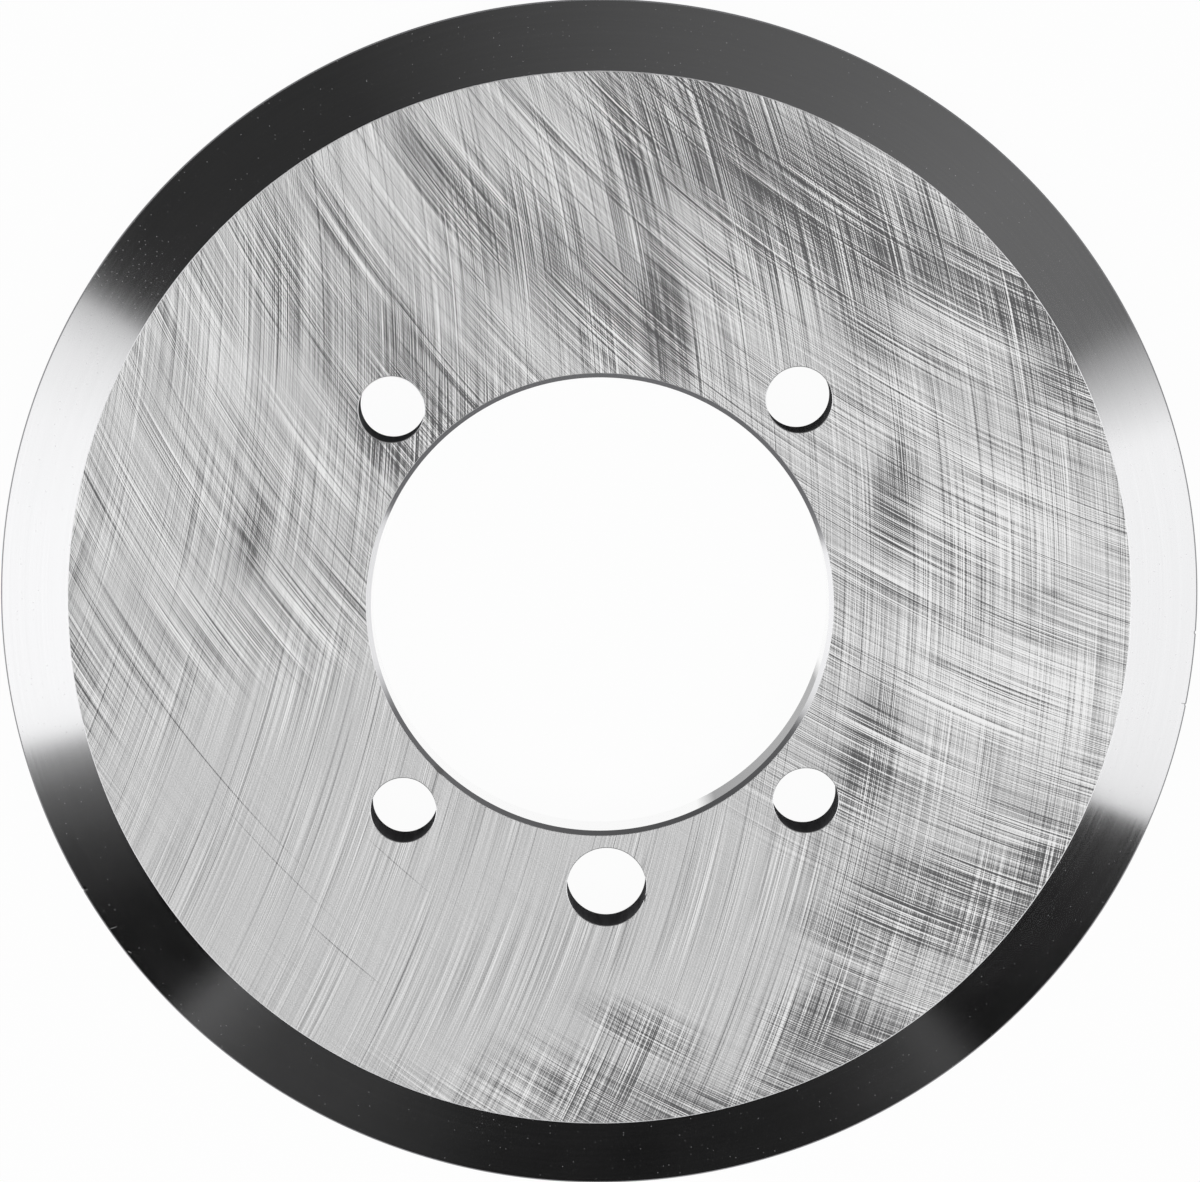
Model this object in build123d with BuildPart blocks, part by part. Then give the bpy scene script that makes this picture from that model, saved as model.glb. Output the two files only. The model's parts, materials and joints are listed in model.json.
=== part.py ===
from build123d import *
import math
import os

# Driving dimensions of the knife, in millimetres and degrees
disc_diameter = 210.0
disc_thickness = 9.5
bore_diameter = 80.0
bore_chamfer = 0.8
bolt_circle_diameter = 100.0
bolt_hole_diameter = 11.5
bolt_hole_count = 4
bolt_hole_start = 45.0
pin_hole_diameter = 14.0
pin_hole_angle = 270.0

# The rim: a wide grind on each side, a fine honed bevel, and the narrow land of the cutting edge
grind_angle = 20.0
honed_bevel_width = 0.25
honed_bevel_angle = 45.0
edge_land = 0.3

# Places that follow from them
disc_radius = disc_diameter / 2
bore_radius = bore_diameter / 2
bolt_circle_radius = bolt_circle_diameter / 2
mid_plane = disc_thickness / 2
honed_radius = disc_radius - honed_bevel_width
honed_depth = honed_bevel_width * math.tan(math.radians(honed_bevel_angle))
grind_depth = mid_plane - edge_land / 2 - honed_depth
face_radius = honed_radius - grind_depth / math.tan(math.radians(grind_angle))

with BuildPart() as knife_disc:
    # Section on one side of the axis. The back is ground like the front, so the cutting edge
    # stands at half the thickness.
    with BuildSketch(Plane.XZ) as section:
        with BuildLine() as profile:
            Polyline(
                (bore_radius, 0),
                (bore_radius, disc_thickness),
                (face_radius, disc_thickness),
                (honed_radius, disc_thickness - grind_depth),
                (disc_radius, mid_plane + edge_land / 2),
                (disc_radius, mid_plane - edge_land / 2),
                (honed_radius, grind_depth),
                (face_radius, 0),
                close=True,
            )
        make_face()
    revolve(axis=Axis.Z)

    # The corners of the bore are broken on both faces
    bore_corners = knife_disc.edges().filter_by(GeomType.CIRCLE).group_by(SortBy.RADIUS)[0]
    chamfer(bore_corners, length=bore_chamfer)

    # Four bolt holes and the pin hole that keys the knife to its hub share one circle
    with BuildSketch(Plane.XY) as hole_pattern:
        with PolarLocations(bolt_circle_radius, bolt_hole_count, start_angle=bolt_hole_start):
            Circle(bolt_hole_diameter / 2)
        with PolarLocations(bolt_circle_radius, 1, start_angle=pin_hole_angle):
            Circle(pin_hole_diameter / 2)
    extrude(amount=disc_thickness, mode=Mode.SUBTRACT)

knife_disc.part.label = "knife_disc"

os.makedirs("parts", exist_ok=True)
export_step(knife_disc.part, "parts/knife_disc.step")

face_share = 2 * face_radius / disc_diameter
print(f"face {2 * face_radius:.2f} mm across, {face_share:.4f} of the diameter")
print(f"grind {disc_radius - face_radius:.2f} mm wide and {grind_depth:.2f} mm deep")
print(f"volume {knife_disc.part.volume / 1000:.2f} cm3")
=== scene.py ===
"""A circular slitting knife, lying on a pale studio floor and seen from above.

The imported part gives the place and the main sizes. This script builds a finer mesh of the knife
with its broken edges, nicks and finishes, then the floor, the lamps and the camera. Lengths are in
millimetres and angles in degrees until a mesh or an object is made, which are in metres.
"""

import json
import logging
import math
from dataclasses import dataclass, field
from enum import Enum
from typing import Any, Sequence

import bmesh
import bpy
from mathutils import Matrix, Vector
from mathutils.geometry import delaunay_2d_cdt


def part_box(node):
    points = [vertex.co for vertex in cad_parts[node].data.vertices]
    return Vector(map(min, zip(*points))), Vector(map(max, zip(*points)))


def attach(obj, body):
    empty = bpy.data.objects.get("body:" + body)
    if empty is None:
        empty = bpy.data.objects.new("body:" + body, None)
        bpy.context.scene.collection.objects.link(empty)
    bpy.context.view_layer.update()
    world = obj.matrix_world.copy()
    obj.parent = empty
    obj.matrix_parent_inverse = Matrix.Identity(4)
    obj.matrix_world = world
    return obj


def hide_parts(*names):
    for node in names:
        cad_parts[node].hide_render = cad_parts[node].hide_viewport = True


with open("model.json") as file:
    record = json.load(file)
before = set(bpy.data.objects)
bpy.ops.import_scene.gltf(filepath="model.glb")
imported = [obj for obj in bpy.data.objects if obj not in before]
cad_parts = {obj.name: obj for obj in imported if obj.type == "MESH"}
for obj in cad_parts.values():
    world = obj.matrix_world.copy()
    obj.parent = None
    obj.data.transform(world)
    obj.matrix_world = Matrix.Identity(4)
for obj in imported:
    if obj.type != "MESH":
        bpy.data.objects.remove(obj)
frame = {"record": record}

LOG = logging.getLogger("knife")

MM = 0.001

# Width and height of the photograph, in pixels
PHOTO_SIZE = (1200, 1182)

Point = tuple[float, float, float]
Rgba = tuple[float, float, float, float]

# A place multiplied by this has no height left
NO_HEIGHT = (1.0, 1.0, 0.0)
# Half height of an oval that reaches through the whole knife
ENDLESS = 1e6


def linear(colour: str) -> Rgba:
    """Turns an sRGB hex colour into linear light.

    Args:
        colour: six hex digits, with or without a leading hash.

    Returns:
        Red, green, blue and an alpha of 1.
    """
    digits = colour.lstrip("#")
    channels = [int(digits[place : place + 2], 16) / 255 for place in (0, 2, 4)]
    lit = [c / 12.92 if c <= 0.04045 else ((c + 0.055) / 1.055) ** 2.4 for c in channels]
    return lit[0], lit[1], lit[2], 1.0


def add_node(tree: bpy.types.NodeTree, kind: str, inputs: Any = (), **settings: Any) -> Any:
    """Adds one node, with its settings and what feeds each of its inputs.

    Args:
        tree: node tree that takes the node.
        kind: type name of the node, without the "ShaderNode" that all of them start with.
        inputs: what feeds the inputs, either in their order or by name or number. It is a fixed value, a
            socket, or a node, which feeds the input from its first output.
        settings: attributes of the node.

    Returns:
        The new node.
    """
    node = tree.nodes.new("ShaderNode" + kind)
    for name, value in settings.items():
        setattr(node, name, value)
    for key, value in inputs.items() if isinstance(inputs, dict) else enumerate(inputs):
        if isinstance(value, bpy.types.Node):
            value = value.outputs[0]
        if isinstance(value, bpy.types.NodeSocket):
            tree.links.new(value, node.inputs[key])
        else:
            node.inputs[key].default_value = value
    return node


def new_material(name: str) -> bpy.types.Material:
    """Makes an empty node material.

    Args:
        name: the real material and how its surface was made.

    Returns:
        The material, with no nodes.
    """
    material = bpy.data.materials.new(name)
    material.use_nodes = True
    material.node_tree.nodes.clear()
    return material


def shade_ramp(tree: bpy.types.NodeTree, along: Any, shades: Sequence[tuple[float, float]]) -> Any:
    """Adds a ramp of greys.

    Args:
        tree: node tree that takes the node.
        along: the place on the ramp, from 0 to 1.
        shades: places from 0 to 1 in order, each with its brightness.

    Returns:
        The ramp.
    """
    ramp = add_node(tree, "ValToRGB", (along,))
    ramp.color_ramp.interpolation = "LINEAR"
    stops = ramp.color_ramp.elements
    for number, (place, shade) in enumerate(shades):
        stop = stops[0] if number == 0 else stops[-1] if number == len(shades) - 1 else stops.new(place)
        stop.position = place
        stop.color = (shade, shade, shade, 1.0)
    return ramp


def knife_place(tree: bpy.types.NodeTree) -> Any:
    """Adds the place on the knife.

    Args:
        tree: node tree that takes the nodes.

    Returns:
        The place, in millimetres.
    """
    where = add_node(tree, "TexCoord")
    return add_node(tree, "VectorMath", {0: where.outputs["Object"], "Scale": 1 / MM}, operation="SCALE")


def oval(
    tree: bpy.types.NodeTree, place: Any, middle: tuple[float, float], size: tuple[float, float], turn: float = 0.0
) -> Any:
    """Measures how far out in an oval a place lies. Height makes no difference.

    Args:
        tree: node tree that takes the nodes.
        place: the place to measure.
        middle: middle of the oval.
        size: half its size along X and along Y, before it is turned.
        turn: how far it is turned, in degrees.

    Returns:
        The distance from the middle, which is 1 on the oval itself.
    """
    laid = {
        "Vector": place,
        "Location": (*middle, 0.0),
        "Rotation": (0.0, 0.0, math.radians(turn)),
        "Scale": (*size, ENDLESS),
    }
    near = add_node(tree, "Mapping", laid, vector_type="TEXTURE")
    return add_node(tree, "VectorMath", (near,), operation="LENGTH").outputs["Value"]


class Surface(Enum):
    """The kinds of surface on the knife, each with its own finish."""

    FRONT_FACE = 0
    BACK_FACE = 1
    GROUND_BEVEL = 2
    HONED_EDGE = 3
    BORE_CHAMFER = 4
    BORE_WALL = 5
    DRILLED_WALL = 6
    BROKEN_CORNER = 7


class Sweep(Enum):
    """Which half of the grinding wheel drew a line: the one coming in over the plate, or the one leaving it."""

    LEADING = 1.0
    TRAILING = -1.0


@dataclass(frozen=True)
class RotaryGrind:
    """Lie of the lines that a cup wheel leaves on a plate which turns under it on a rotary table.

    Every line is an arc of the wheel's own radius, and two arcs cross at each place. A line is known by
    how far the wheel's centre had travelled round the table when it was drawn.
    """

    wheel_radius: float = 242.3
    spindle_offset: float = 296.4
    table_centre: tuple[float, float] = (-115.5, 296.7)

    def lines(self, tree: bpy.types.NodeTree, place: Any) -> tuple[dict[Sweep, Any], Any]:
        """Works out, in nodes, which two lines cross at a place and how far along them it lies.

        Args:
            tree: node tree that takes the nodes.
            place: the place on the knife, in millimetres.

        Returns:
            The wheel's travel for each sweep, and the distance along the wheel's rim, in millimetres.
        """
        wheel, offset = self.wheel_radius, self.spindle_offset
        arm = add_node(tree, "VectorMath", (place, (*self.table_centre, 0.0)), operation="SUBTRACT")
        flat = add_node(tree, "VectorMath", (arm, NO_HEIGHT), operation="MULTIPLY")
        reach = add_node(tree, "VectorMath", (flat,), operation="LENGTH").outputs["Value"]
        parts = add_node(tree, "SeparateXYZ", (flat,))
        turn = add_node(tree, "Math", (parts.outputs[1], parts.outputs[0]), operation="ARCTAN2")

        # The table's centre, the wheel's centre and the place make a triangle of known sides
        near = add_node(tree, "Math", ((offset**2 - wheel**2) / (2 * offset), reach), operation="DIVIDE")
        cosine = add_node(tree, "Math", (reach, 1 / (2 * offset), near), operation="MULTIPLY_ADD")
        spread = add_node(tree, "Math", (cosine,), operation="ARCCOSINE")
        travel = {}
        for sweep in Sweep:
            angle = add_node(tree, "Math", (spread, sweep.value, turn), operation="MULTIPLY_ADD")
            travel[sweep] = add_node(tree, "Math", (angle, offset), operation="MULTIPLY")
        product = 2 * offset * wheel
        squared = add_node(tree, "Math", (reach, reach), operation="MULTIPLY")
        far = (squared, -1 / product, (offset**2 + wheel**2) / product)
        cosine = add_node(tree, "Math", far, operation="MULTIPLY_ADD")
        corner = add_node(tree, "Math", (cosine,), operation="ARCCOSINE")
        return travel, add_node(tree, "Math", (corner, wheel), operation="MULTIPLY")

    def at(self, x: float, y: float, sweep: Sweep) -> tuple[float, float, float]:
        """Works out the line that one sweep drew through a place.

        Args:
            x: place on the knife.
            y: place on the knife.
            sweep: which of the two lines.

        Returns:
            The wheel's travel, the distance along the line, and the travel for each millimetre across it.
        """
        wheel, offset = self.wheel_radius, self.spindle_offset
        arm = x - self.table_centre[0], y - self.table_centre[1]
        reach = math.hypot(*arm)
        spread = math.acos((reach**2 + offset**2 - wheel**2) / (2 * reach * offset))
        corner = math.acos((offset**2 + wheel**2 - reach**2) / (2 * offset * wheel))
        travel = offset * (math.atan2(arm[1], arm[0]) + sweep.value * spread)
        return travel, wheel * corner, 1 / math.sin(corner)


@dataclass(frozen=True)
class Mark:
    """A soft patch or a scratch on the ground face, drawn out along the lines of one sweep."""

    x: float
    y: float
    sweep: Sweep
    half_length: float
    half_width: float
    depth: float


# Dull patches have a depth above zero, and places that were rubbed bright one below it
FRONT_SMUDGES = (
    Mark(20, 80, Sweep.LEADING, 28, 11, 0.37),
    Mark(36, 72, Sweep.LEADING, 34, 11, 0.44),
    Mark(45, 60, Sweep.TRAILING, 21, 6, 0.39),
    Mark(31, 60, Sweep.LEADING, 9, 6, 0.23),
    Mark(66, 55, Sweep.LEADING, 24, 8, 0.34),
    Mark(80, 48, Sweep.LEADING, 12, 6, 0.57),
    Mark(85, 37, Sweep.LEADING, 9, 4.5, 0.64),
    Mark(9, 68, Sweep.TRAILING, 26, 5, 0.37),
    Mark(-26, 74, Sweep.LEADING, 17, 4.5, 0.55),
    Mark(-3, 57, Sweep.LEADING, 24, 9, 0.37),
    Mark(13, 49, Sweep.TRAILING, 12, 4.5, 0.51),
    Mark(-20, 54, Sweep.TRAILING, 12, 4, 0.18),
    Mark(-29, 39, Sweep.LEADING, 19, 8, 0.61),
    Mark(-35, 29, Sweep.LEADING, 9, 5, 0.53),
    Mark(-46, 44, Sweep.LEADING, 17, 3.5, 0.21),
    Mark(-54, 60, Sweep.TRAILING, 16, 5, 0.16),
    Mark(-60, 14, Sweep.TRAILING, 9, 4, 0.17),
    Mark(52, 18, Sweep.TRAILING, 11, 5, 0.57),
    Mark(47, -26, Sweep.TRAILING, 14, 5.5, 0.46),
    Mark(68, -56, Sweep.LEADING, 26, 10, 0.39),
    Mark(79, -47, Sweep.LEADING, 8, 4, 0.39),
    Mark(44, -59, Sweep.LEADING, 11, 5, 0.28),
    Mark(35, -82, Sweep.TRAILING, 18, 9, 0.30),
    Mark(50, -80, Sweep.LEADING, 20, 8, 0.37),
    Mark(3, -90, Sweep.LEADING, 22, 12, 0.34),
    Mark(6, -76, Sweep.LEADING, 12, 5, 0.23),
    Mark(72, 14, Sweep.LEADING, 30, 12, -0.18),
    Mark(58, 29, Sweep.LEADING, 12, 5, -0.14),
    Mark(66, 48, Sweep.LEADING, 12, 4, -0.16),
    Mark(72, -17, Sweep.LEADING, 28, 14, -0.23),
    Mark(66, -54, Sweep.LEADING, 8, 4, -0.21),
    Mark(-35, 77, Sweep.LEADING, 22, 8, -0.16),
    Mark(-67, 48, Sweep.LEADING, 16, 7, -0.14),
    Mark(-73, 4, Sweep.LEADING, 12, 4, -0.14),
)

# Single scratches, the longest of them one arc across the lower left
FRONT_SCRATCHES = (
    Mark(-77.3, -15.1, Sweep.LEADING, 38, 0.11, 0.62),
    Mark(-58.4, -43.7, Sweep.LEADING, 16, 0.10, 0.36),
    Mark(-46.9, -60.6, Sweep.LEADING, 9, 0.11, 0.42),
    Mark(-36.9, -45.0, Sweep.LEADING, 8, 0.10, 0.34),
    Mark(71.6, -24.7, Sweep.LEADING, 2.8, 0.13, 0.70),
    Mark(-64.7, -32.8, Sweep.TRAILING, 11, 0.13, -0.24),
    Mark(-55.0, -39.3, Sweep.TRAILING, 6, 0.12, 0.30),
)


@dataclass(frozen=True)
class LineLayer:
    """One size of line in a ground face, with a shift that sets its noise apart from the others'."""

    width: float
    length: float
    shift: float


@dataclass(frozen=True)
class GroundFaceFinish:
    """Tool steel, hardened and surface ground on a rotary table, bare and lightly handled.

    To the eye: a bright satin grey, ruled all over by fine light and dark arcs that cross like cloth,
    with softer dull patches where the plate was handled.
    """

    name: str
    grind: RotaryGrind = RotaryGrind()
    smudges: tuple[Mark, ...] = ()
    scratches: tuple[Mark, ...] = ()
    dark: str = "#5A5A5B"
    light: str = "#D8D8D8"
    level: float = 0.62
    # Roughness of the dark furrows and of the light ridges
    roughness: tuple[float, float] = (0.42, 0.29)
    bump_strength: float = 0.25
    furrow_depth: float = 0.004
    # Sets this face's noise apart from another face's, and one sweep's from the other's
    seed: float = 0.0
    sweep_shift: float = 31.7
    # How strongly each sweep's lines show
    strengths: tuple[float, float] = (0.99, 0.61)

    # The real lines are some hundredths of a millimetre apart, too fine to show, so they are drawn as
    # coarse as the coarsest that the camera sees
    finest: LineLayer = LineLayer(0.16, 34.0, 0.0)
    finest_gain: float = 1.42
    # Lines come in groups and fade between them: a low and a high noise, and the lines' strength at each
    groups: LineLayer = LineLayer(5.5, 40.0, 7.3)
    group_noise: tuple[float, float] = (0.36, 0.64)
    group_strength: tuple[float, float] = (0.55, 1.30)
    # Hairlines lie where the noise has these values, the furrow's and the burr's beside it, or nearly
    hair: LineLayer = LineLayer(0.62, 75.0, 23.9)
    hair_noise: tuple[float, float] = (0.50, 0.575)
    hair_reach: float = 0.042
    # For each sweep, how deep the furrows of its hairlines look and how bright the burrs
    hairlines: tuple[tuple[float, float], ...] = ((-0.35, 0.17), (-0.18, 0.33))
    # Now and then a loose grain of the wheel dug one long dark line, where the noise is this high
    dug: LineLayer = LineLayer(0.45, 90.0, 17.3)
    dug_noise: tuple[float, float] = (0.74, 0.80)
    dug_shade: float = -0.30
    # Fine pitting, a fifth of a millimetre across
    pit_size: float = 0.19
    pit_gain: float = 0.32

    # How much stronger the lines are in a dull patch, for its depth
    dull_gain: float = 2.8
    # Where a mark has faded out, in its own half sizes
    mark_end: float = 1.5
    # Where the wheel's first sweep hardly touched: middle, half sizes and turn of an ellipse
    calm_middle: tuple[float, float] = (-25.0, -49.0)
    calm_size: tuple[float, float] = (66.0, 36.0)
    calm_turn: float = -15.0
    # How far out in the ellipse the lines begin and are full, and their strength inside
    calm_edge: tuple[float, float] = (0.84, 1.26)
    calm_strength: float = 0.06
    # How much deeper the wheel's last sweep cut for each millimetre along X and along Y
    lean: tuple[float, float] = (0.0022, 0.0046)

    def streaks(self, tree: bpy.types.NodeTree, travel: Any, along: Any, layer: LineLayer, seed: float) -> Any:
        """Adds a noise drawn out along the grinding lines.

        Args:
            tree: node tree that takes the nodes.
            travel: the wheel's travel, which tells one line from the next.
            along: the distance along the line.
            layer: size of the lines.
            seed: moves the noise, so that two streaks differ.

        Returns:
            The noise, about 0.5 on average.
        """
        seed += layer.shift
        across = add_node(tree, "Math", (travel, 1 / layer.width, seed), operation="MULTIPLY_ADD")
        down = add_node(tree, "Math", (along, 1 / layer.length, seed), operation="MULTIPLY_ADD")
        spot = add_node(tree, "CombineXYZ", (across, down))
        return add_node(tree, "TexNoise", {"Vector": spot, "Scale": 1.0, "Detail": 0.0}, noise_dimensions="2D")

    def marked(self, tree: bpy.types.NodeTree, spots: dict[Sweep, Any], marks: Sequence[Mark]) -> Any:
        """Adds up marks.

        Args:
            tree: node tree that takes the nodes.
            spots: for each sweep, the travel and the distance along the line as a vector.
            marks: the smudges or scratches.

        Returns:
            How much darker the face is there, or a plain 0 where there are no marks.
        """
        total: Any = 0.0
        for mark in marks:
            travel, along, spacing = self.grind.at(mark.x, mark.y, mark.sweep)
            size = (mark.half_width * spacing, mark.half_length)
            fade = (oval(tree, spots[mark.sweep], (travel, along), size), 0.0, self.mark_end, mark.depth, 0.0)
            soft = add_node(tree, "MapRange", fade, interpolation_type="SMOOTHERSTEP")
            total = add_node(tree, "Math", (soft, total), operation="ADD")
        return total

    def calm(self, tree: bpy.types.NodeTree, place: Any) -> Any:
        """Tells where the lines of the first sweep are faint.

        Args:
            tree: node tree that takes the nodes.
            place: the place on the knife, in millimetres.

        Returns:
            The strength of those lines, near 0 in the calm part and 1 elsewhere.
        """
        out = oval(tree, place, self.calm_middle, self.calm_size, self.calm_turn)
        edge = (out, *self.calm_edge, self.calm_strength, 1.0)
        return add_node(tree, "MapRange", edge, interpolation_type="SMOOTHSTEP")

    def hairs(self, tree: bpy.types.NodeTree, noise: Any, gains: tuple[float, float], lines: Any) -> Any:
        """Adds a sweep's hairlines, each a furrow with a burr beside it.

        Args:
            tree: node tree that takes the nodes.
            noise: the noise of the hairlines.
            gains: how deep the furrows look and how bright the burrs.
            lines: the tone of the finest lines.

        Returns:
            That tone with the hairlines.
        """
        for middle, gain in zip(self.hair_noise, gains):
            away = add_node(tree, "Math", (noise, middle), operation="SUBTRACT")
            away = add_node(tree, "Math", (away,), operation="ABSOLUTE")
            ridge = add_node(tree, "MapRange", (away, 0.0, self.hair_reach, gain, 0.0))
            lines = add_node(tree, "Math", (ridge, lines), operation="ADD")
        return lines

    def tone(self, tree: bpy.types.NodeTree, place: Any) -> tuple[Any, Any]:
        """Adds up the lines of both sweeps, the smudges and the scratches.

        Args:
            tree: node tree that takes the nodes.
            place: the place on the knife, in millimetres.

        Returns:
            The tone, 0 for dark and 1 for light, and the height of the finest lines, about 0.5 on average.
        """
        travel, along = self.grind.lines(tree, place)
        spots = {sweep: add_node(tree, "CombineXYZ", (travel[sweep], along)) for sweep in Sweep}
        dull = self.marked(tree, spots, self.smudges)
        total = add_node(tree, "Math", (self.level, dull), operation="SUBTRACT")
        total = add_node(tree, "Math", (total, self.marked(tree, spots, self.scratches)), operation="SUBTRACT")
        leaning = add_node(tree, "VectorMath", (place, (*self.lean, 0.0)), operation="DOT_PRODUCT")
        bite = {
            Sweep.LEADING: self.calm(tree, place),
            Sweep.TRAILING: add_node(tree, "Math", (leaning.outputs["Value"], 1.0), operation="ADD"),
        }
        # The dull patches are where the lines lie deepest
        worn = add_node(tree, "Math", (dull, 0.0), operation="MAXIMUM")
        height: Any = 0.0
        for number, sweep in enumerate(Sweep):
            seed = self.seed + self.sweep_shift * number
            group = self.streaks(tree, travel[sweep], along, self.groups, seed)
            grouped = add_node(tree, "MapRange", (group, *self.group_noise, *self.group_strength))
            base = add_node(tree, "Math", (bite[sweep], self.strengths[number]), operation="MULTIPLY")
            deep = add_node(tree, "Math", (worn, self.dull_gain, base), operation="MULTIPLY_ADD")
            strength = add_node(tree, "Math", (deep, grouped), operation="MULTIPLY")
            fine = self.streaks(tree, travel[sweep], along, self.finest, seed)
            height = add_node(tree, "Math", (fine, 0.5, height), operation="MULTIPLY_ADD")
            centred = (fine, self.finest_gain, -0.5 * self.finest_gain)
            lines = add_node(tree, "Math", centred, operation="MULTIPLY_ADD")
            hair = self.streaks(tree, travel[sweep], along, self.hair, seed)
            lines = self.hairs(tree, hair, self.hairlines[number], lines)
            total = add_node(tree, "Math", (lines, strength, total), operation="MULTIPLY_ADD")
            loose = self.streaks(tree, travel[sweep], along, self.dug, seed)
            dug = add_node(tree, "MapRange", (loose, *self.dug_noise, 0.0, self.dug_shade))
            total = add_node(tree, "Math", (dug, bite[sweep], total), operation="MULTIPLY_ADD")
        grained = {"Vector": place, "Scale": 1 / self.pit_size, "Detail": 0.0}
        grain = add_node(tree, "TexNoise", grained, noise_dimensions="2D")
        total = add_node(tree, "Math", (grain, self.pit_gain, total), operation="MULTIPLY_ADD")
        total = add_node(tree, "Math", (total, 0.5 * self.pit_gain), operation="SUBTRACT")
        return add_node(tree, "Clamp", (total,)), height

    def material(self) -> bpy.types.Material:
        """Builds the finish.

        Returns:
            The material.
        """
        material = new_material(self.name)
        tree = material.node_tree
        tone, height = self.tone(tree, knife_place(tree))
        shades = {0: tone, 6: linear(self.dark), 7: linear(self.light)}
        relief = {"Strength": self.bump_strength, "Distance": self.furrow_depth * MM, "Height": height}
        look = {
            "Base Color": add_node(tree, "Mix", shades, data_type="RGBA").outputs[2],
            "Metallic": 1.0,
            "Roughness": add_node(tree, "MapRange", (tone, 0.0, 1.0, *self.roughness)),
            "Normal": add_node(tree, "Bump", relief),
        }
        add_node(tree, "OutputMaterial", (add_node(tree, "BsdfPrincipled", look),))
        return material


@dataclass(frozen=True)
class Scratch:
    """A short pale scratch on the bevel: its middle, the way it runs, and its size."""

    x: float
    y: float
    turn: float
    half_length: float
    half_width: float


# By the rim, at the lower left and the upper left
BEVEL_SCRATCHES = (
    Scratch(-87.5, -56.1, 22.0, 0.85, 0.07),
    Scratch(-84.8, -60.6, -30.0, 0.40, 0.10),
    Scratch(-85.6, 59.4, -50.0, 0.50, 0.10),
)


@dataclass(frozen=True)
class DarkWedge:
    """A darker, duller grey on part of a ring, by direction round the axis."""

    middle: float
    half_width: float
    colour: str


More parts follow.
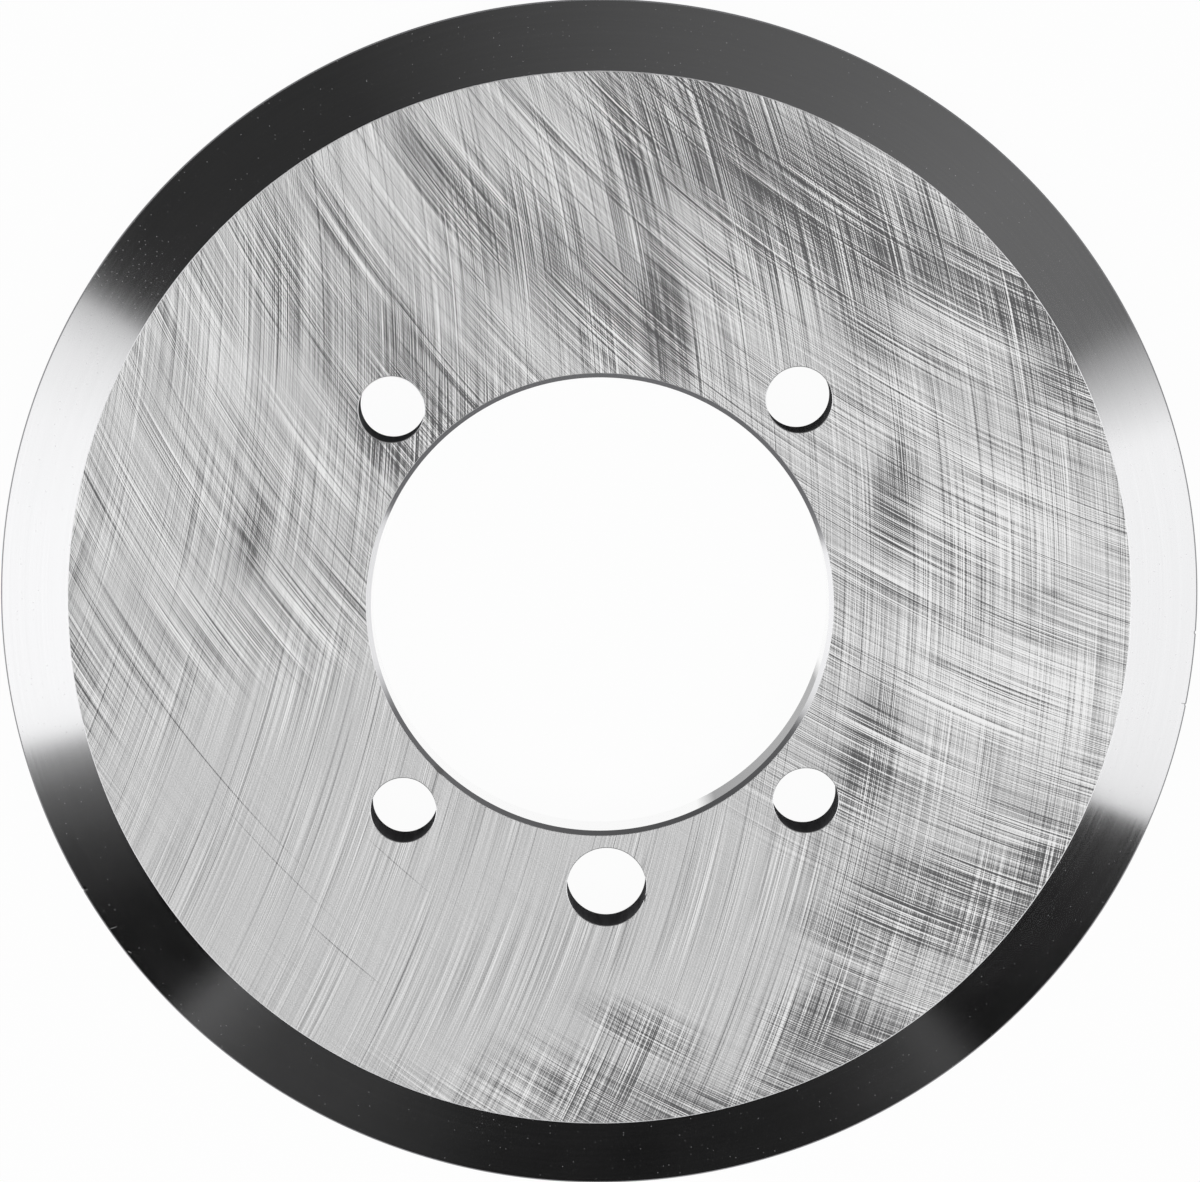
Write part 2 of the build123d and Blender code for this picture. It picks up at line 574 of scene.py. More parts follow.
@dataclass(frozen=True)
class RingFinish:
    """Tool steel, ground or turned round the knife's own axis.

    To the eye: smooth metal with a long soft gleam across hair-fine rings, and on a handled surface a few
    pale specks and scratches.
    """

    name: str
    colour: str
    roughness: float
    anisotropy: float = 0.0
    ring_contrast: float = 0.06
    # How much more the dullest ring blurs a reflection than the clearest one, in roughness
    ring_haze: float = 0.0
    grain: float = 0.0
    speck_gain: float = 0.0
    scratches: tuple[Scratch, ...] = ()
    dark_wedge: DarkWedge | None = None
    # Painted reflection: the colour put where the surface is seen along it rather than square on, standing in for the
    # gleam there, and between which views it changes
    painted_reflection: str | None = None
    painted_reflection_views: tuple[float, float] = (0.50, 0.80)

    # Real rings are a few hundredths of a millimetre apart, drawn about ten times as coarse to show at all
    ring_pitch: float = 0.45
    # How far one ring runs before its shade changes
    ring_run: float = 60.0
    bump_strength: float = 0.12
    ring_depth: float = 0.002
    # Patches of more and less polish: their size, and the share of the roughness that they change
    cloud_size: float = 14.0
    cloud_share: float = 0.1
    # The real grain is finer too, and drawn as coarse as the camera needs
    grain_size: float = 0.20
    grain_noise: tuple[float, float] = (0.40, 0.75)
    # Dust and pits of 0.1 to 0.25 mm, some millimetres apart, catch the light as pale dots. One place in each
    # square of this size may have one, and those with a number above the first of the next two do.
    speck_spacing: float = 1.0
    speck_choice: tuple[float, float] = (0.87, 1.0)
    # Radius where a dot is full, and where it ends
    speck_radius: tuple[float, float] = (0.05, 0.12)
    # Where the specks lie thickest: a place by the rim at the upper left, how far they spread, and how many more
    dusty_place: tuple[float, float] = (-83.0, 60.0)
    dusty_reach: float = 12.0
    dusty_gain: float = 0.60
    # Where a scratch begins to fade and where it ends, in its own half sizes
    scratch_edge: tuple[float, float] = (0.5, 1.3)
    # How much the darker wedge adds to the roughness, and which share of its width is at full strength
    wedge_haze: float = 0.12
    wedge_core: float = 0.8

    def worn(self, tree: bpy.types.NodeTree, place: Any, flat: Any) -> Any:
        """Works out what grain, specks and scratches make of a handled surface.

        Args:
            tree: node tree that takes the nodes.
            place: the place on the knife, in millimetres.
            flat: the same with no height.

        Returns:
            How bright the metal is as a mirror, 1 where it is clean and less where light scatters.
        """
        grain = add_node(tree, "TexNoise", {"Vector": place, "Scale": 1 / self.grain_size, "Detail": 0.0})
        clean = add_node(tree, "MapRange", (grain, *self.grain_noise, 1.0, 1.0 - self.grain))
        cells = {"Vector": flat, "Scale": 1 / self.speck_spacing, "Randomness": 1.0}
        dots = add_node(tree, "TexVoronoi", cells, feature="F1", voronoi_dimensions="2D")
        speck = add_node(tree, "MapRange", (dots.outputs["Distance"], *self.speck_radius, 1.0, 0.0))
        keep = add_node(tree, "SeparateColor", (dots.outputs["Color"],))
        gap = add_node(tree, "VectorMath", (flat, (*self.dusty_place, 0.0)), operation="DISTANCE")
        dusty = add_node(tree, "MapRange", (gap.outputs["Value"], 0.0, self.dusty_reach, self.dusty_gain, 0.0))
        kept = add_node(tree, "Math", (keep.outputs[0], dusty), operation="ADD")
        chosen = add_node(tree, "MapRange", (kept, *self.speck_choice, 0.0, -self.speck_gain))
        clean = add_node(tree, "Math", (speck, chosen, clean), operation="MULTIPLY_ADD")
        for scratch in self.scratches:
            size = (scratch.half_length, scratch.half_width)
            out = oval(tree, flat, (scratch.x, scratch.y), size, scratch.turn)
            line = add_node(tree, "MapRange", (out, *self.scratch_edge, self.speck_gain, 0.0))
            clean = add_node(tree, "Math", (clean, line), operation="SUBTRACT")
        return clean

    def wedge_darkened(self, tree: bpy.types.NodeTree, parts: Any, colour: Any, rough: Any) -> tuple[Any, Any]:
        """Lays the darker wedge over the metal.

        Args:
            tree: node tree that takes the nodes.
            parts: node with the place on the knife, split up.
            colour: the metal's colour.
            rough: the metal's roughness.

        Returns:
            The colour and the roughness with the darker wedge.
        """
        turn = add_node(tree, "Math", (parts.outputs[1], parts.outputs[0]), operation="ARCTAN2")
        away = add_node(tree, "Math", (turn, math.radians(self.dark_wedge.middle)), operation="SUBTRACT")
        away = add_node(tree, "Math", (away,), operation="ABSOLUTE")
        half = math.radians(self.dark_wedge.half_width)
        share = add_node(tree, "MapRange", (away, self.wedge_core * half, half, 1.0, 0.0))
        mixed = add_node(tree, "Mix", {0: share, 6: colour, 7: linear(self.dark_wedge.colour)}, data_type="RGBA")
        return mixed.outputs[2], add_node(tree, "Math", (share, self.wedge_haze, rough), operation="MULTIPLY_ADD")

    def material(self) -> bpy.types.Material:
        """Builds the finish.

        Returns:
            The material.
        """
        material = new_material(self.name)
        tree = material.node_tree
        place = knife_place(tree)
        flat = add_node(tree, "VectorMath", (place, NO_HEIGHT), operation="MULTIPLY")
        radius = add_node(tree, "VectorMath", (flat,), operation="LENGTH").outputs["Value"]
        parts = add_node(tree, "SeparateXYZ", (place,))
        # Radius and depth together tell one ring from the next, on a cone and on a bore alike
        across = add_node(tree, "Math", (radius, parts.outputs[2]), operation="SUBTRACT")
        ring = add_node(tree, "Math", (across, 1 / self.ring_pitch), operation="MULTIPLY")
        slow = add_node(tree, "VectorMath", {0: flat, "Scale": 1 / self.ring_run}, operation="SCALE")
        slow_parts = add_node(tree, "SeparateXYZ", (slow,))
        spot = add_node(tree, "CombineXYZ", (slow_parts.outputs[0], slow_parts.outputs[1], ring))
        noise = add_node(tree, "TexNoise", {"Vector": spot, "Scale": 1.0, "Detail": 2.0, "Roughness": 0.55})
        base = linear(self.colour)
        dark = tuple(channel * (1 - 2 * self.ring_contrast) for channel in base[:3]) + (1.0,)
        light = tuple(min(1.0, channel * (1 + 2 * self.ring_contrast)) for channel in base[:3]) + (1.0,)
        colour = add_node(tree, "Mix", {0: noise, 6: dark, 7: light}, data_type="RGBA").outputs[2]
        cloud = add_node(tree, "TexNoise", {"Vector": place, "Scale": 1 / self.cloud_size, "Detail": 2.0})
        middle, change = self.roughness - 0.5 * self.ring_haze, self.cloud_share * self.roughness
        rough = add_node(tree, "MapRange", (cloud, 0.3, 0.7, middle - change, middle + change))
        rough = add_node(tree, "Math", (noise, self.ring_haze, rough), operation="MULTIPLY_ADD")
        # Painted reflection: where the surface is seen along it, its colour turns towards a pale one that stands in
        # for the bright floor it mirrors there
        if self.painted_reflection:
            view = add_node(tree, "LayerWeight", {"Blend": 0.5})
            share = add_node(tree, "MapRange", (view.outputs["Facing"], *self.painted_reflection_views, 0.0, 1.0))
            along = {0: share, 6: colour, 7: linear(self.painted_reflection)}
            colour = add_node(tree, "Mix", along, data_type="RGBA").outputs[2]
        if self.dark_wedge:
            colour, rough = self.wedge_darkened(tree, parts, colour, rough)
        relief = {"Strength": self.bump_strength, "Distance": self.ring_depth * MM, "Height": noise}
        look = {
            "Base Color": colour,
            "Metallic": self.worn(tree, place, flat) if self.speck_gain else 1.0,
            "Roughness": rough,
            "Anisotropic": self.anisotropy,
            "Anisotropic Rotation": 0.25,
            "Normal": add_node(tree, "Bump", relief),
            "Tangent": add_node(tree, "Tangent", direction_type="RADIAL", axis="Z"),
        }
        add_node(tree, "OutputMaterial", (add_node(tree, "BsdfPrincipled", look),))
        return material


@dataclass(frozen=True)
class DrilledWallFinish:
    """Steel, drilled and left dull from heat and cutting oil.

    To the eye: a matt dark grey, almost black down in the hole, with faint paler streaks.
    """

    name: str = "drilled_steel_oil_dark"
    dark: str = "#444445"
    light: str = "#7C7C7E"
    # Roughness of the dark parts and of the streaks
    roughness: tuple[float, float] = (0.47, 0.63)
    # Streaks to a metre round the hole and down it: each is about 1 mm wide and 17 mm long
    streaks: Point = (900.0, 900.0, 60.0)
    bump_strength: float = 0.3
    streak_depth: float = 0.01

    def material(self) -> bpy.types.Material:
        """Builds the finish.

        Returns:
            The material.
        """
        material = new_material(self.name)
        tree = material.node_tree
        where = add_node(tree, "TexCoord")
        place = add_node(tree, "VectorMath", (where.outputs["Object"], self.streaks), operation="MULTIPLY")
        noise = add_node(tree, "TexNoise", {"Vector": place, "Scale": 1.0, "Detail": 2.0})
        shades = {0: noise, 6: linear(self.dark), 7: linear(self.light)}
        relief = {"Strength": self.bump_strength, "Distance": self.streak_depth * MM, "Height": noise}
        look = {
            "Base Color": add_node(tree, "Mix", shades, data_type="RGBA").outputs[2],
            "Metallic": 0.0,
            "Roughness": add_node(tree, "MapRange", (noise, 0.0, 1.0, *self.roughness)),
            "Specular IOR Level": 0.0,
            "Normal": add_node(tree, "Bump", relief),
        }
        add_node(tree, "OutputMaterial", (add_node(tree, "BsdfPrincipled", look),))
        return material


@dataclass(frozen=True)
class Nick:
    """A small chip out of an edge."""

    angle: float
    half_width: float
    depth: float


@dataclass
class Shell:
    """A closed surface, put together ring by ring."""

    points: list[Vector] = field(default_factory=list)
    faces: list[tuple[int, ...]] = field(default_factory=list)
    surfaces: list[Surface] = field(default_factory=list)
    # Rings along which the shading is split, so that a nick changes it on its own side only
    creases: list[set[int]] = field(default_factory=list)
    # Edges that bend by more than this stay sharp, in degrees
    sharp_angle: float = 6.0

    def ring(self, places: Sequence[Point]) -> list[int]:
        """Adds the points of one closed ring.

        Args:
            places: the points in order, in millimetres.

        Returns:
            Their numbers.
        """
        first = len(self.points)
        self.points.extend(Vector(place) * MM for place in places)
        return list(range(first, len(self.points)))

    def strip(self, one: list[int], other: list[int], surface: Surface) -> None:
        """Joins two rings of the same count with a strip of faces.

        Args:
            one: the first ring.
            other: the second ring.
            surface: what the strip is.
        """
        count = len(one)
        for step in range(count):
            ahead = (step + 1) % count
            self.faces.append((one[step], one[ahead], other[ahead], other[step]))
            self.surfaces.append(surface)

    def plate(self, outline: list[int], holes: list[list[int]], surface: Surface) -> None:
        """Fills a flat face that has holes in it.

        Args:
            outline: the outer ring.
            holes: the ring of each hole.
            surface: what the face is.
        """
        rings = [outline, *holes]
        numbers = [number for ring in rings for number in ring]
        owner = {number: which for which, ring in enumerate(rings) for number in ring}
        place_of = {number: step for step, number in enumerate(numbers)}
        edges = [
            (place_of[ring[step]], place_of[ring[(step + 1) % len(ring)]])
            for ring in rings
            for step in range(len(ring))
        ]
        flat = [self.points[number].to_2d() / MM for number in numbers]
        whole_plane, tolerance = 0, 1e-6
        made = delaunay_2d_cdt(flat, edges, [], whole_plane, tolerance)
        triangles, origins = made[2], made[3]
        back = [numbers[sources[0]] if sources else None for sources in origins]
        for triangle in triangles:
            corners = tuple(back[corner] for corner in triangle)
            owners = {owner[corner] for corner in corners}
            # A triangle with all its corners on one inner ring lies in that hole
            if len(owners) == 1 and 0 not in owners:
                continue
            self.faces.append(corners)
            self.surfaces.append(surface)

    def to_object(self, name: str, materials: dict[Surface, bpy.types.Material]) -> bpy.types.Object:
        """Makes the mesh object, smooth on its cones and sharp at its corners.

        Args:
            name: name of the object.
            materials: the material of each surface.

        Returns:
            The object, linked to the scene.
        """
        mesh = bpy.data.meshes.new(name)
        mesh.from_pydata(self.points, [], self.faces)
        slots = {surface: number for number, surface in enumerate(materials)}
        for material in materials.values():
            mesh.materials.append(material)
        for polygon, surface in zip(mesh.polygons, self.surfaces):
            polygon.material_index = slots[surface]
        body = bmesh.new()
        body.from_mesh(mesh)
        bmesh.ops.recalc_face_normals(body, faces=body.faces)
        for face in body.faces:
            face.smooth = True
        for edge in body.edges:
            ends = {corner.index for corner in edge.verts}
            creased = any(ends <= crease for crease in self.creases)
            edge.smooth = not creased and edge.calc_face_angle(math.pi) < math.radians(self.sharp_angle)
        body.to_mesh(mesh)
        body.free()
        mesh.update()
        piece = bpy.data.objects.new(name, mesh)
        bpy.context.scene.collection.objects.link(piece)
        return piece


@dataclass
class KnifeDisc:
    """The whole knife: two ground faces, the rim ground from both sides, the bore and its five holes."""

    outer_radius: float
    thickness: float
    bore_radius: float
    bolt_circle_radius: float
    bolt_hole_radius: float
    bolt_hole_count: int
    pin_hole_radius: float
    pin_hole_place: tuple[float, float]

    grind_angle: float = 20.0
    honed_width: float = 0.25
    edge_land: float = 0.30
    bore_chamfer: float = 0.80
    # What the chamfer mirrors in the photograph shows that it is a little flatter than 45 degrees
    bore_chamfer_slope: float = 40.0
    bolt_hole_start: float = 45.0

    # Corners are never quite sharp: the stone that takes off the burr leaves a narrow bright line
    corner_break: float = 0.07
    hole_break: float = 0.12
    bore_break: float = 0.04

    rim_steps: int = 1080
    bore_steps: int = 720
    hole_steps: int = 96
    # Steps from the middle of a nick to its end
    nick_steps: int = 8

    # Chips as the photograph shows them, by the angle round the axis
    rim_nicks: tuple[Nick, ...] = (Nick(-4.3, 0.30, 0.18), Nick(-11.4, 0.25, 0.12), Nick(208.0, 0.25, 0.1))
    pin_hole_nick: Nick = Nick(-17.5, 0.55, 0.22)
    bore_nick: Nick = Nick(224.3, 1.1, 0.14)
    # How far in from the honed bevel and how far down a hole a nick is felt at most
    rim_nick_reach: float = 0.7
    hole_nick_reach: float = 1.2
    # Share of a nick's depth that is left where the honed bevel starts
    honed_nick_share: float = 0.8

    @classmethod
    def from_record(cls, record: dict[str, Any]) -> "KnifeDisc":
        """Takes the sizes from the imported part.

        Args:
            record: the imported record.

        Returns:
            The knife, not built yet.
        """
        low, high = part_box("knife_disc")
        mounts = {mount["name"]: mount for mount in record["mounts"]}
        bolts, pin = mounts["bolts"]["dims"], mounts["pin_hole"]
        return cls(
            outer_radius=min(high.x, high.y, -low.x, -low.y) / MM,
            thickness=(high.z - low.z) / MM,
            bore_radius=mounts["bore"]["dims"]["r_mm"],
            bolt_circle_radius=bolts["pcd_mm"] / 2,
            bolt_hole_radius=bolts["hole_r_mm"],
            bolt_hole_count=bolts["count"],
            pin_hole_radius=pin["dims"]["r_mm"],
            pin_hole_place=(pin["pos_m"][0] / MM, pin["pos_m"][1] / MM),
        )

    @property
    def honed_radius(self) -> float:
        """Radius where the ground bevel meets the honed one."""
        return self.outer_radius - self.honed_width

    @property
    def grind_depth(self) -> float:
        """How far the ground bevel falls below the face."""
        return self.thickness / 2 - self.edge_land / 2 - self.honed_width

    @property
    def face_radius(self) -> float:
        """Radius where the flat face ends."""
        return self.honed_radius - self.grind_depth / math.tan(math.radians(self.grind_angle))

    def angles(self, steps: int, nicks: Sequence[Nick], radius: float) -> list[float]:
        """Spaces the points of a ring evenly, and closer across each nick.

        Args:
            steps: count of even steps.
            nicks: the chips on this ring.
            radius: radius of the ring.

        Returns:
            The angles in order, in degrees.
        """
        places = {round(360.0 * step / steps, 4) for step in range(steps)}
        for nick in nicks:
            reach = math.degrees(nick.half_width / radius)
            for step in range(-self.nick_steps, self.nick_steps + 1):
                places.add(round((nick.angle + reach * step / self.nick_steps) % 360.0, 4))
        return sorted(places)

    @staticmethod
    def chip(angle: float, radius: float, nicks: Sequence[Nick]) -> float:
        """Tells how much a nick takes off at an angle.

        Args:
            angle: angle round the axis.
            radius: radius of the ring.
            nicks: the chips on this ring.

        Returns:
            The depth in millimetres.
        """
        depth = 0.0
        for nick in nicks:
            away = math.radians((angle - nick.angle + 180.0) % 360.0 - 180.0) * radius / nick.half_width
            if abs(away) < 1.0:
                depth = max(depth, nick.depth * (1.0 - away * away))
        return depth

    def stack(
        self,
        shell: Shell,
        stations: Sequence[tuple[float, float, float, Surface]],
        steps: int,
        nicks: Sequence[Nick],
        edge: float,
        centre: tuple[float, float] = (0.0, 0.0),
    ) -> list[list[int]]:
        """Builds rings one after the other and joins each to the next.

        Args:
            shell: the surface that takes them.
            stations: radius and height of each ring, how much wider it is for each millimetre of a nick's
                depth, and the surface that follows it.
            steps: count of even steps round a ring.
            nicks: the chips on these rings.
            edge: radius of the edge that the nicks are in.
            centre: centre of the rings.

        Returns:
            The rings.
        """
        angles = self.angles(steps, nicks, edge)
        chips = [self.chip(angle, edge, nicks) for angle in angles]
        rings = []
        for radius, height, widening, _ in stations:
            places = []
            for angle, chip in zip(angles, chips):
                reach, turn = radius + widening * chip, math.radians(angle)
                places.append((centre[0] + reach * math.cos(turn), centre[1] + reach * math.sin(turn), height))
            rings.append(shell.ring(places))
        for one, other, (_, _, _, surface) in zip(rings, rings[1:], stations):
            shell.strip(one, other, surface)
        return rings

    def rim(self, shell: Shell) -> tuple[list[int], list[int]]:
        """Builds both ground bevels, the honed bevels and the land of the cutting edge.

        Args:
            shell: the surface that takes them.

        Returns:
            The outer ring of the front face and of the back face.
        """
        slope = math.radians(self.grind_angle)
        tuck, inner = self.corner_break, self.rim_nick_reach
        # Radius, depth below the face, what a nick does there, and the surface that follows
        front = (
            (self.face_radius - tuck, 0.0, 0.0, Surface.BROKEN_CORNER),
            (self.face_radius + tuck * math.cos(slope), tuck * math.sin(slope), 0.0, Surface.GROUND_BEVEL),
            (self.honed_radius - inner, self.grind_depth - inner * math.tan(slope), 0.0, Surface.GROUND_BEVEL),
            (self.honed_radius, self.grind_depth, -self.honed_nick_share, Surface.HONED_EDGE),
            (self.outer_radius, self.grind_depth + self.honed_width, -1.0, Surface.HONED_EDGE),
        )
        stations = [(radius, self.thickness - depth, widening, kind) for radius, depth, widening, kind in front]
        # The back has the same rings the other way round, so that each surface comes a ring later
        kinds = [*(kind for _, _, _, kind in reversed(front[:-1])), Surface.BROKEN_CORNER]
        stations += [(*station[:3], kind) for station, kind in zip(reversed(front), kinds)]
        rings = self.stack(shell, stations, self.rim_steps, self.rim_nicks, self.outer_radius)
        # The rings that a nick reaches, on the front and on the back
        shell.creases += [set(rings[2]), set(rings[-3])]
        return rings[0], rings[-1]

    def bore(self, shell: Shell) -> tuple[list[int], list[int]]:
        """Builds the bore with its chamfered corners.

        Args:
            shell: the surface that takes it.

        Returns:
            The ring of the bore on the front face and on the back face.
        """
        mouth, top, tuck = self.bore_radius + self.bore_chamfer, self.thickness, self.bore_break
        slope = math.tan(math.radians(self.bore_chamfer_slope))
        deep = self.bore_chamfer * slope
        stations = (
            (mouth + tuck, top, 1.0, Surface.BROKEN_CORNER),
            (mouth - tuck, top - tuck * slope, 1.0, Surface.BORE_CHAMFER),
            (self.bore_radius, top - deep, 0.0, Surface.BORE_WALL),
            (self.bore_radius, deep, 0.0, Surface.BORE_CHAMFER),
            (mouth - tuck, tuck * slope, 0.0, Surface.BROKEN_CORNER),
            (mouth + tuck, 0.0, 0.0, Surface.BROKEN_CORNER),
        )
        rings = self.stack(shell, stations, self.bore_steps, (self.bore_nick,), mouth)
        return rings[0], rings[-1]

    def hole(
        self, shell: Shell, centre: tuple[float, float], radius: float, nicks: Sequence[Nick]
    ) -> tuple[list[int], list[int]]:
        """Builds one drilled hole, its corners broken half as deep as they are wide.

        Args:
            shell: the surface that takes it.
            centre: centre of the hole.
            radius: radius of the hole.
            nicks: chips out of its front edge.

        Returns:
            The ring of the hole on the front face and on the back face.
        """
        tuck, top = self.hole_break, self.thickness
        stations = (
            (radius + tuck, top, 1.0, Surface.BROKEN_CORNER),
            (radius, top - 0.5 * tuck, 1.0, Surface.DRILLED_WALL),
            (radius, top - self.hole_nick_reach, 0.0, Surface.DRILLED_WALL),
            (radius, 0.5 * tuck, 0.0, Surface.BROKEN_CORNER),
            (radius + tuck, 0.0, 0.0, Surface.BROKEN_CORNER),
        )
        rings = self.stack(shell, stations, self.hole_steps, nicks, radius, centre)
        # The ring that a nick reaches
        shell.creases.append(set(rings[2]))
        return rings[0], rings[-1]

    def finishes(self) -> dict[Surface, bpy.types.Material]:
        """Makes the material of each surface.

        Returns:
            The materials by surface.
        """
        finishes = {
            Surface.FRONT_FACE: GroundFaceFinish(
                "tool_steel_rotary_ground_handled", smudges=FRONT_SMUDGES, scratches=FRONT_SCRATCHES
            ),
            Surface.BACK_FACE: GroundFaceFinish("tool_steel_rotary_ground", seed=60.0),
            Surface.GROUND_BEVEL: RingFinish(
                "tool_steel_fine_ground_bevel", "#CDCDCE", 0.11, anisotropy=0.5, ring_contrast=0.02, ring_haze=0.05,
                grain=0.008, speck_gain=0.45, scratches=BEVEL_SCRATCHES,
            ),
            # The honed edge's grey is darker than the steel's own: painted shade that, with the dim room it mirrors,
            # makes the thin dark line along the rim
            Surface.HONED_EDGE: RingFinish("tool_steel_honed_edge", "#8C8C8E", 0.28, ring_contrast=0.08),
            Surface.BORE_CHAMFER: RingFinish("tool_steel_turned_chamfer", "#BDBDBE", 0.14, ring_contrast=0.05),
            # The bore wall's grey turns nearly white where it is seen along it, a painted reflection
            Surface.BORE_WALL: RingFinish(
                "tool_steel_honed_bore", "#AEAEB0", 0.10, ring_contrast=0.03, painted_reflection="#FAFAFA",
                dark_wedge=DarkWedge(-41.0, 25.0, "#5C5C5E"),
            ),
            Surface.DRILLED_WALL: DrilledWallFinish(),
            Surface.BROKEN_CORNER: RingFinish("tool_steel_stoned_corner", "#DCDCDD", 0.36, ring_contrast=0.05),
        }
        return {surface: finish.material() for surface, finish in finishes.items()}

    def build(self) -> bpy.types.Object:
        """Builds and dresses the knife, and puts it in the place of its solid.

        Returns:
            The finished piece.
        """
        shell = Shell()
        front_outline, back_outline = self.rim(shell)
        rings = [self.bore(shell)]
        for number in range(self.bolt_hole_count):
            turn = math.radians(self.bolt_hole_start + 360.0 * number / self.bolt_hole_count)
            centre = (self.bolt_circle_radius * math.cos(turn), self.bolt_circle_radius * math.sin(turn))
            rings.append(self.hole(shell, centre, self.bolt_hole_radius, ()))
        rings.append(self.hole(shell, self.pin_hole_place, self.pin_hole_radius, (self.pin_hole_nick,)))
        shell.plate(front_outline, [front for front, _ in rings], Surface.FRONT_FACE)
        shell.plate(back_outline, [back for _, back in rings], Surface.BACK_FACE)
        piece = shell.to_object("knife", self.finishes())
        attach(piece, "root")
        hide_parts("knife_disc")
        return piece


@dataclass
class PaperFloor:
    """The pale paper that the knife lies on."""

    half_side: float = 6000.0
    # How far it lies under the knife, so that the two don't share a plane
    gap: float = 0.05
    colour: str = "#F2F2F2"
    glow: float = 0.96
    # Faint grain: patches to a metre, and the shade of the darkest
    grain: float = 40.0
    grain_shade: float = 0.985

    def material(self) -> bpy.types.Material:
        """Builds matt white paper, which the camera and the metal see as nearly white.

        Returns:
            The material.
        """
        material = new_material("matt_white_paper")
        tree = material.node_tree
        where = add_node(tree, "TexCoord")
        grain = add_node(tree, "TexNoise", {"Vector": where.outputs["Object"], "Scale": self.grain, "Detail": 2.0})
        tint = add_node(tree, "MapRange", (grain, 0.0, 1.0, self.grain_shade, 1.0))
        shades = {0: tint, 6: (0.0, 0.0, 0.0, 1.0), 7: linear(self.colour)}
        colour = add_node(tree, "Mix", shades, data_type="RGBA").outputs[2]
        matt = add_node(tree, "BsdfDiffuse", {"Color": colour})
        white = add_node(tree, "Emission", {"Color": (1.0, 1.0, 1.0, 1.0), "Strength": 1.0})
        path = add_node(tree, "LightPath")
        seen = add_node(tree, "Math", (path.outputs["Is Camera Ray"], path.outputs["Is Glossy Ray"]), operation="ADD")
        through = (seen, path.outputs["Is Transmission Ray"])
        seen = add_node(tree, "Math", through, operation="ADD", use_clamp=True)
        share = add_node(tree, "Math", (seen, self.glow), operation="MULTIPLY")
        add_node(tree, "OutputMaterial", (add_node(tree, "MixShader", (share, matt, white)),))
        return material

    def build(self) -> bpy.types.Object:
        """Lays the floor just under the knife.

        Returns:
            The floor.
        """
        side, under = self.half_side * MM, -self.gap * MM
        corners = [(x * side, y * side, under) for x, y in ((-1, -1), (1, -1), (1, 1), (-1, 1))]
        mesh = bpy.data.meshes.new("paper_floor")
        mesh.from_pydata(corners, [], [(0, 1, 2, 3)])
        mesh.materials.append(self.material())
        floor = bpy.data.objects.new("paper_floor", mesh)
        bpy.context.scene.collection.objects.link(floor)
        return floor


@dataclass
class Softbox:
    """A large lamp, known by how bright its face looks, that may fade towards its sides."""

    name: str
    centre: Point
    facing: Point
    width: float
    height: float
    radiance: float
    # Places across its width from 0 to 1, each with the share of the full brightness
    fade: tuple[tuple[float, float], ...] = ()

    def build(self) -> bpy.types.Object:
        """Hangs the lamp.

        Returns:
            The lamp.
        """
        light = bpy.data.lights.new(self.name, "AREA")
        light.shape = "RECTANGLE"
        light.size = self.width * MM
        light.size_y = self.height * MM
        light.energy = self.radiance * math.pi * light.size * light.size_y
        if self.fade:
            light.use_nodes = True
            tree = light.node_tree
            tree.nodes.clear()
            parts = add_node(tree, "SeparateXYZ", (add_node(tree, "NewGeometry").outputs["Parametric"],))
            glow = add_node(tree, "Emission", {"Color": shade_ramp(tree, parts.outputs[0], self.fade)})
            add_node(tree, "OutputLight", (glow,))
        lamp = bpy.data.objects.new(self.name, light)
        back = Vector(self.centre) - Vector(self.facing)
        lamp.rotation_euler = back.to_track_quat("Z", "Y").to_euler()
        lamp.location = Vector(self.centre) * MM
        bpy.context.scene.collection.objects.link(lamp)
        return lamp


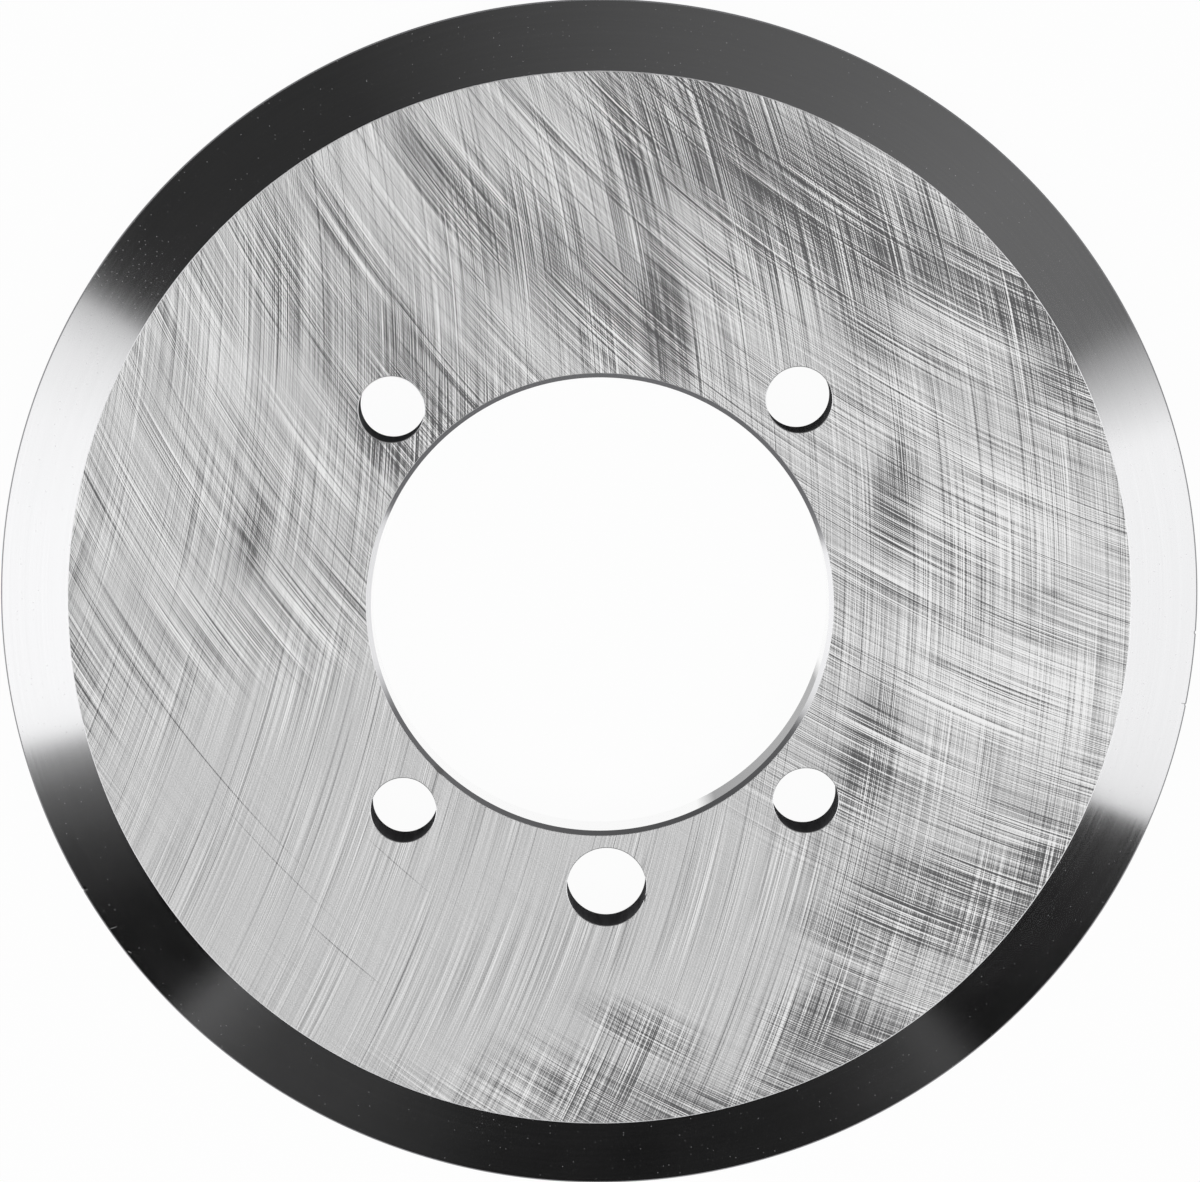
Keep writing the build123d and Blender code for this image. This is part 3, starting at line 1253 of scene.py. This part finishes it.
@dataclass
class Studio:
    """Lamps and the dim room round them.

    Two tall boxes stand left and right and one hangs overhead. The room in front and behind is left dim, so
    that the ground bevel shows dark there and bright at its sides.
    """

    boxes: tuple[Softbox, ...] = (
        Softbox(
            "softbox_left",
            centre=(-1600.0, -127.0, 1250.0),
            facing=(0.0, -127.0, 1250.0),
            width=1834.0,
            height=2500.0,
            radiance=1.48,
            fade=(
                (0.0, 0.0), (0.038, 0.10), (0.055, 0.20), (0.068, 0.46), (0.082, 0.60), (0.117, 0.71),
                (0.153, 0.82), (0.188, 0.87), (0.28, 0.97), (0.38, 1.0), (0.787, 1.0), (0.823, 0.25),
                (0.854, 0.16), (0.89, 0.07), (0.927, 0.045), (0.964, 0.025), (1.0, 0.0),
            ),
        ),
        Softbox(
            "softbox_right",
            centre=(1600.0, -274.0, 1250.0),
            facing=(0.0, -274.0, 1250.0),
            width=1500.0,
            height=2500.0,
            radiance=1.26,
            fade=((0.0, 0.97), (0.06, 1.0), (0.77, 1.0), (0.94, 0.265), (1.0, 0.0)),
        ),
        Softbox(
            "softbox_above",
            centre=(0.0, -560.0, 2000.0),
            facing=(0.0, -560.0, 0.0),
            width=2800.0,
            height=2200.0,
            radiance=1.26,
        ),
    )
    horizon: str = "#909092"
    # Between these heights above the horizon the wall takes over, as the sine of the angle
    wall_foot: tuple[float, float] = (0.20, 0.50)
    # The room's wall by compass direction, in degrees from +X, with how bright it looks: dark cloth in front
    # with two narrow gaps, and a paler wall behind, which is brightest next to the right lamp
    wall: tuple[tuple[float, float], ...] = (
        (-180.0, 0.050), (-153.0, 0.058), (-146.0, 0.052), (-138.5, 0.004), (-130.0, 0.0), (-128.2, 0.155),
        (-124.5, 0.090), (-121.0, 0.058), (-112.0, 0.048), (-100.0, 0.016), (-86.0, 0.010), (-70.0, 0.022),
        (-63.5, 0.050), (-59.6, 0.100), (-57.2, 0.004), (-45.0, 0.010), (-36.0, 0.042), (-30.0, 0.088),
        (-23.0, 0.155), (14.0, 0.200), (36.0, 0.205), (60.0, 0.155), (75.0, 0.132), (104.0, 0.072),
        (120.0, 0.040), (180.0, 0.030),
    )

    def world(self) -> None:
        """Paints the room: pale near the floor, and a dim wall above."""
        world = bpy.data.worlds.new("studio_room")
        bpy.context.scene.world = world
        world.use_nodes = True
        tree = world.node_tree
        tree.nodes.clear()
        parts = add_node(tree, "SeparateXYZ", (add_node(tree, "TexCoord").outputs["Generated"],))
        compass = add_node(tree, "Math", (parts.outputs[1], parts.outputs[0]), operation="ARCTAN2")
        turn = add_node(tree, "MapRange", (compass, -math.pi, math.pi, 0.0, 1.0))
        wall = shade_ramp(tree, turn, [(azimuth / 360.0 + 0.5, shade) for azimuth, shade in self.wall])
        foot = (parts.outputs[2], *self.wall_foot, 0.0, 1.0)
        rise = add_node(tree, "MapRange", foot, interpolation_type="SMOOTHSTEP")
        colour = add_node(tree, "Mix", {0: rise, 6: linear(self.horizon), 7: wall}, data_type="RGBA").outputs[2]
        add_node(tree, "OutputWorld", (add_node(tree, "Background", {"Color": colour, "Strength": 1.0}),))

    def build(self) -> list[bpy.types.Object]:
        """Lights the scene.

        Returns:
            The lamps.
        """
        self.world()
        return [box.build() for box in self.boxes]


@dataclass
class PhotoCamera:
    """The camera, placed so that the knife's edges and holes fall where the photograph has them."""

    lens: float = 132.31
    sensor_width: float = 36.0
    # Nearest and furthest distance that it shows, in metres
    clip: tuple[float, float] = (0.01, 60.0)
    place: Point = (-3.76, 114.47, 770.42)
    right: Point = (0.99970163, -0.02294531, 0.00837675)
    up: Point = (0.02391884, 0.98911613, -0.14517978)
    back: Point = (-0.00495438, 0.14533682, 0.98936983)

    def build(self) -> bpy.types.Object:
        """Sets up the camera.

        Returns:
            The camera.
        """
        data = bpy.data.cameras.new("photo_camera")
        data.sensor_fit = "HORIZONTAL"
        data.sensor_width = self.sensor_width
        data.lens = self.lens
        data.clip_start, data.clip_end = self.clip
        camera = bpy.data.objects.new("photo_camera", data)
        axes = Matrix((self.right, self.up, self.back)).transposed().to_4x4()
        camera.matrix_world = Matrix.Translation(Vector(self.place) * MM) @ axes
        bpy.context.scene.collection.objects.link(camera)
        bpy.context.scene.camera = camera
        return camera


def main() -> None:
    """Builds the camera, the studio and the knife, and notes the sizes."""
    logging.basicConfig(level=logging.INFO, format="%(name)s: %(message)s")
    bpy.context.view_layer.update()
    bpy.context.scene.view_settings.view_transform = "Standard"

    camera = PhotoCamera().build()
    LOG.info("camera %s, %.1f mm lens, for a picture of %d by %d", camera.name, camera.data.lens, *PHOTO_SIZE)
    for lamp in Studio().build():
        LOG.info("lamp %s, %.0f W", lamp.name, lamp.data.energy)
    floor = PaperFloor().build()
    LOG.info("floor %s", floor.name)
    knife = KnifeDisc.from_record(frame["record"]).build()
    LOG.info("piece %s, %d faces, %d finishes", knife.name, len(knife.data.polygons), len(knife.data.materials))


if __name__ == "__main__":
    main()
